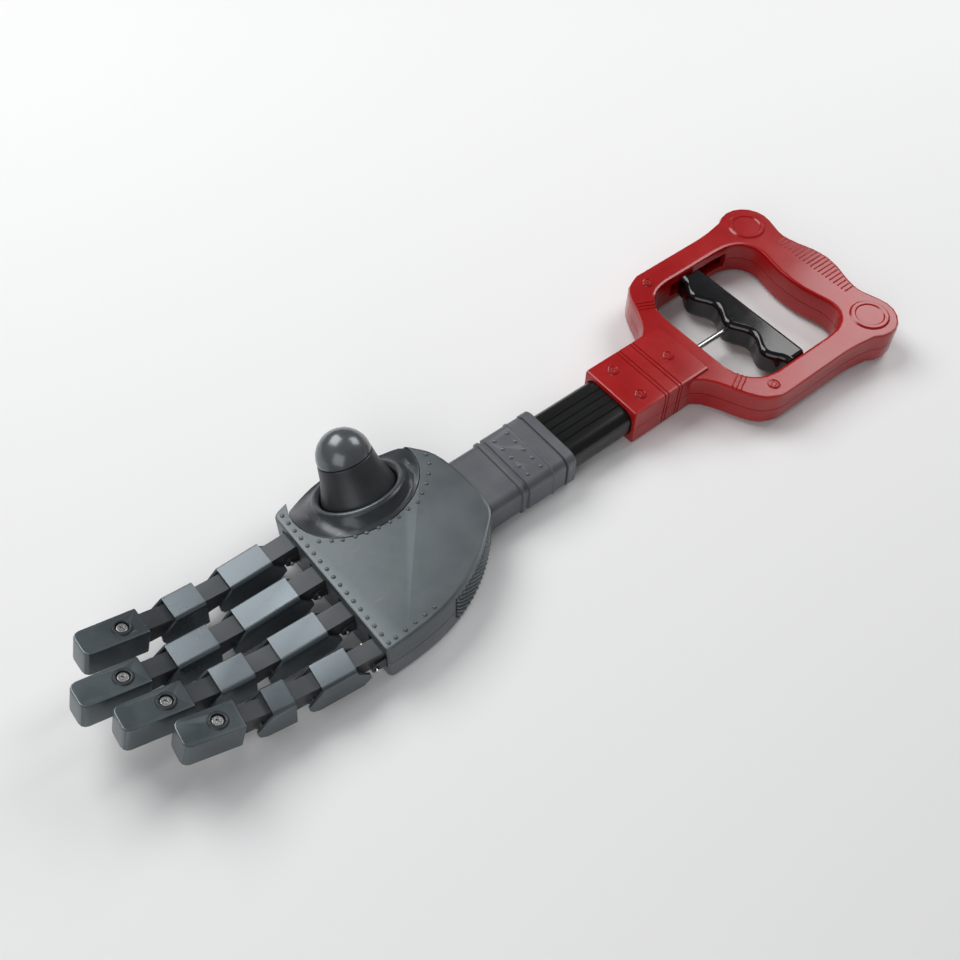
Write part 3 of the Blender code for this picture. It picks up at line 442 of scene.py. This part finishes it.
def smooth_line(knots, steps):
    """Catmull-Rom points through the knots."""
    points = []
    last = len(knots) - 1
    for i in range(last):
        p = [knots[max(0, min(last, i + k))] for k in (-1, 0, 1, 2)]
        for k in range(steps):
            t = k / steps
            square = 2 * p[0] - 5 * p[1] + 4 * p[2] - p[3]
            cube = 3 * p[1] - p[0] - 3 * p[2] + p[3]
            points.append(0.5 * (2 * p[1] + (p[2] - p[0]) * t + square * t * t + cube * t ** 3))
    return points + [knots[-1]]


def cord_stretch(name, knots, steps):
    """One stretch of a pull cord; its caller hides the CAD cord that it replaces."""
    return add_piece(name, tube_mesh(name, smooth_line(knots, steps), CORD_R * MM), CORD, None)


def add_cords():
    """Each pull cord in four stretches: fingertip, middle, knuckle and the run to the yoke."""
    in_neck = (-9.0, -4.0, 3.5, 7.0)
    for finger, lane in zip(FINGERS, LANES):
        side = lane * LANE_PITCH
        knuckle, middle, tip = (hinge_frame(finger, word) for word in ("knuckle", "middle", "end"))
        last = local(knuckle, in_neck[-1])
        enter = Vector((-92.5 * MM + SHIFT_X * MM, last.y * 0.96, 17.3 * MM))
        inside = Vector((-86.0 * MM + SHIFT_X * MM, last.y * 0.86, 13.5 * MM))
        runs = (
            ("tip", f"{finger}_end", f"{finger}_mid", tip, -13.5, local(middle, -10.5)),
            ("middle", f"{finger}_mid", f"{finger}_base", middle, -10.5, local(knuckle, -11.0)),
            ("knuckle", f"{finger}_base", "grabber", knuckle, -11.0, enter),
        )
        for word, child, parent, hinge, front, rear in runs:
            knots = [local(hinge, x) for x in (front, *in_neck)] + [rear]
            piece = cord_stretch(f"cord_{finger}_{word}", knots, 6)
            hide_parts("cord_" + finger)
            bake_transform(piece)
        route = ((-60.0, side * 1.6), (-34.0, side), (0.0, side), (37.8, side))
        piece = cord_stretch(f"cord_{finger}_run", [enter, inside] + [at(x, y, ROD_Z) for x, y in route], 8)
        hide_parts("cord_" + finger)
        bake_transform(piece)


def add_spring():
    """Compression spring on the rod, with its last turns closed up."""
    low, high = (Vector(corner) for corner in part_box("return_spring"))
    end_gap, closing = 0.6 * MM, 0.045
    start, end = low.x + end_gap, high.x - end_gap
    turns, per_turn, radius, wire = 15, 28, 3.2 * MM, 0.45 * MM
    centre = (low + high) / 2
    points = []
    for i in range(turns * per_turn + 1):
        share = i / (turns * per_turn)
        angle = 2 * math.pi * turns * share
        x = start + (end - start) * (share - closing * math.sin(2 * math.pi * share))
        points.append(Vector((x, centre.y + radius * math.cos(angle), centre.z + radius * math.sin(angle))))
    piece = add_piece("spring_coil", tube_mesh("spring_coil", points, wire), SPRING, "grabber")
    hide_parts("return_spring")
    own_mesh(piece)


def add_trigger():
    """Finger bar with three rounded bumps and full-round edges."""
    low, high = (Vector(corner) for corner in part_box("trigger_bar"))
    back, front = high.x / MM, low.x / MM + BUMP_HEIGHT
    outline = []
    steps = 120
    for i in range(steps + 1):
        y = -TRIGGER_HALF + 2 * TRIGGER_HALF * i / steps
        wave = 0.5 + 0.5 * math.cos(2 * math.pi * y / BUMP_PITCH)
        fade = 1.0 if abs(y) < BUMP_FADE_Y else max(0.0, 1.0 - (abs(y) - BUMP_FADE_Y) / BUMP_FADE)
        outline.append((front - BUMP_HEIGHT * wave * fade, y))
    for sign, first in ((1, 90), (-1, 0)):
        for k in range(7):
            angle = math.radians(first - 15 * k)
            x = back - TRIGGER_CORNER + TRIGGER_CORNER * math.cos(angle)
            outline.append((x, sign * (TRIGGER_HALF - TRIGGER_CORNER) + TRIGGER_CORNER * math.sin(angle)))
    curve = bpy.data.curves.new("finger_bar", "CURVE")
    curve.dimensions = "2D"
    curve.fill_mode = "BOTH"
    curve.extrude = (high.z - low.z) / 2 - TRIGGER_EDGE * MM
    curve.bevel_depth = TRIGGER_EDGE * MM
    curve.bevel_resolution = 6
    curve.offset = -TRIGGER_EDGE * MM
    line = curve.splines.new("POLY")
    line.points.add(len(outline) - 1)
    for knot, (x, y) in zip(line.points, outline):
        knot.co = (x * MM, y * MM, 0.0, 1.0)
    line.use_cyclic_u = True
    mesh = curve_to_mesh("finger_bar", curve)
    mesh.transform(Matrix.Translation((0, 0, (low.z + high.z) / 2)))
    piece = add_piece("finger_bar", mesh, BLACK, "trigger")
    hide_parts("trigger_bar")


def add_tube_reeds():
    """Fine lengthwise reeding on the arm tube's broad faces."""
    low, high = (Vector(corner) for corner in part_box("arm_tube"))
    gap, sink = 0.1 * MM, 0.1 * MM
    start = SLEEVE_END + gap
    length = (HANDLE_START - gap - start) / MM
    pitch, count, reed_r = 0.9, 23, 0.3
    body = bmesh.new()
    for i in range(count):
        y = (-9.9 + pitch * i) * MM
        for z in (high.z - sink, low.z + sink):
            turn = Matrix.Translation((start, y, z)) @ Matrix.Rotation(math.pi / 2, 4, "Y")
            revolve(body, ((0.0, 0.0), (reed_r, 0.0), (reed_r, length), (0.0, length)), 8, turn)
    add_piece("tube_reeds", mesh_from("tube_reeds", body), TUBE, "grabber")


def add_collar_bead():
    """Raised bright bead on the thumb collar's upper edge."""
    lean = Matrix.Rotation(-math.radians(THUMB_LEAN_DEG), 4, "X")
    seat = Matrix.Translation(at(*THUMB_SEAT)) @ lean
    ring = []
    for k in range(13):
        angle = 2 * math.pi * k / 12
        ring.append((20.6 + 0.95 * math.cos(angle), 0.75 + 0.62 * math.sin(angle)))
    body = bmesh.new()
    revolve(body, ring, 96, seat)
    bmesh.ops.remove_doubles(body, verts=body.verts, dist=0.00001)
    add_piece("collar_bead", mesh_from("collar_bead", body), HAND, "grabber")


def darken_necks():
    """The narrow neck behind each finger shell is darker than the shell."""
    for finger in FINGERS:
        for section, word in SECTIONS:
            piece = NODES[f"{finger}_{section}"]
            piece.data.materials.append(NECK)
            inverse = hinge_frame(finger, word).inverted()
            for polygon in piece.data.polygons:
                centre = inverse @ polygon.center / MM
                if centre.x > NECK_REAR and abs(centre.y) < NECK_HALF:
                    polygon.material_index = 1


def grip_edge(y):
    """X of the grip's outer edge."""
    return 211.3 + 5.7 * (0.5 + 0.5 * math.cos(math.pi * y / 25.5))


def grip_rib(y):
    """A rib's path over the top, round the outer side and under the grip."""
    edge = grip_edge(y)
    upper = [(203.6, 0.0), (edge - 2.6, 0.0), (edge - 1.2, 0.6), (edge - 0.4, 2.2)]
    path = [(x, HANDLE_TOP - drop) for x, drop in upper] + [(edge - 0.3, HANDLE_AXIS)]
    path += [(x, HANDLE_BOTTOM + drop) for x, drop in reversed(upper)]
    return [at(x, y, z) for x, z in path]


def bend_ribs():
    """Paths of three ribs across each bend of the loop, on both faces."""
    tangent = Vector((5.4, 10.9, 0)).normalized()
    paths = []
    for side in (1, -1):
        for offset in (-3.2, -1.0, 1.2):
            inner = Vector((120.2, 31.4, 0)) + tangent * offset
            outer = Vector((112.0, 35.5, 0)) + tangent * offset
            for level in (HANDLE_TOP, HANDLE_BOTTOM):
                paths.append([at(p.x, side * p.y, level) for p in (inner, inner.lerp(outer, 0.5), outer)])
    return paths


def add_handle_details():
    """Ribs round the outer half of the grip, ribs across the bends and lobed screw-head motifs."""
    rib_r, grip_ribs, grip_pitch = 0.42, 19, 2.6
    paths = [grip_rib(-23.4 + grip_pitch * i) for i in range(grip_ribs)] + bend_ribs()
    for i, points in enumerate(paths):
        name = f"handle_rib_{i + 1}"
        add_piece(name, tube_mesh(name, points, rib_r * MM), RED, "grabber")
    bead = ((2.75, -0.2), (2.7, 0.2), (2.45, 0.38), (2.15, 0.3), (2.0, -0.1))
    lobe = ((0.5, -0.2), (0.46, 0.12), (0.3, 0.27), (0.0, 0.33))
    boss_rise, lobe_ring_r = 0.33, 1.2
    body = bmesh.new()
    for x, y in BOSSES:
        level = (STEM_TOP if x < STEM_END else HANDLE_TOP) + boss_rise
        seat = Matrix.Translation(at(x, y, level))
        revolve(body, bead, 32, seat)
        for k in range(6):
            angle = math.pi * k / 3
            spot = Vector((math.cos(angle), math.sin(angle), 0)) * lobe_ring_r * MM
            revolve(body, lobe, 12, seat @ Matrix.Translation(spot))
    add_piece("boss_motifs", mesh_from("boss_motifs", body), RED, "grabber")


def add_palm_knurl():
    """Rows of small ribs on the rear near side wall of the palm, following its edge."""
    edge = [(-28.2, -19.0), (-34.6, -25.9), (-43.4, -32.9), (-53.8, -39.0), (-65.2, -43.4)]
    line = smooth_line([Vector((x, y, 0)) for x, y in edge], 9)
    stud = ((0.55, -0.5), (0.55, 0.5), (0.0, 0.9))
    rows, first, pitch = 6, 4.0, 2.9
    body = bmesh.new()
    for i, point in enumerate(line):
        stagger = 0.0 if i % 2 else pitch / 2
        for row in range(rows):
            z = first + pitch * row + stagger
            revolve(body, stud, 8, Matrix.Translation(at(point.x, point.y, z)))
    add_piece("palm_knurl", mesh_from("palm_knurl", body), HAND, "grabber")


darken_necks()
add_palm_rivets()
add_handle_details()
add_palm_knurl()
add_tip_rings()
add_cords()
add_spring()
add_trigger()
add_tube_reeds()
add_collar_bead()


# --- stage ---------------------------------------------------------------------------------------
def build_stage():
    """A plain pale floor, three soft area lights and an even, dim surround."""
    floor_mesh = bpy.data.meshes.new("floor")
    reach = 3.0
    corners = [(-reach, -reach, 0), (reach, -reach, 0), (reach, reach, 0), (-reach, reach, 0)]
    floor_mesh.from_pydata(corners, [], [(0, 1, 2, 3)])
    floor = bpy.data.objects.new("floor", floor_mesh)
    floor.location.z = -0.0003
    bpy.context.scene.collection.objects.link(floor)
    material, tree, shader = new_material("floor")
    shader.inputs["Base Color"].default_value = (0.86, 0.86, 0.86, 1.0)
    shader.inputs["Roughness"].default_value = 0.9
    floor_mesh.materials.append(material)
    for name, place, size, power in (
        ("key", (-0.15, 0.75, 0.95), 0.75, 9.5),
        ("fill", (-0.9, -0.5, 0.7), 0.9, 4.5),
        ("rim", (0.8, 0.1, 0.7), 0.5, 3.6),
    ):
        lamp = bpy.data.lights.new(name, "AREA")
        lamp.size = size
        lamp.energy = power
        light = bpy.data.objects.new(name, lamp)
        light.location = place
        light.rotation_euler = (-Vector(place)).to_track_quat("-Z", "Y").to_euler()
        bpy.context.scene.collection.objects.link(light)
    world = bpy.data.worlds.new("studio")
    bpy.context.scene.world = world
    world.use_nodes = True
    background = world.node_tree.nodes["Background"]
    background.inputs["Color"].default_value = (0.95, 0.97, 1.0, 1.0)
    background.inputs["Strength"].default_value = 0.18
    bpy.context.scene.view_settings.view_transform = "Standard"


def build_camera():
    """Camera at the photograph's viewing angle."""
    eye = Vector((-0.208007, -0.229579, 0.426403))
    forward = Vector((0.37299, 0.45541, -0.80838))
    roll = math.radians(0.839)
    camera = bpy.data.cameras.new("camera")
    camera.lens = 41.84
    camera.sensor_width = 36.0
    camera.clip_start = 0.01
    obj = bpy.data.objects.new("camera", camera)
    turn = forward.to_track_quat("-Z", "Y").to_matrix().to_4x4() @ Matrix.Rotation(roll, 4, "Z")
    obj.matrix_world = Matrix.Translation(eye) @ turn
    bpy.context.scene.collection.objects.link(obj)
    bpy.context.scene.camera = obj


build_stage()
build_camera()
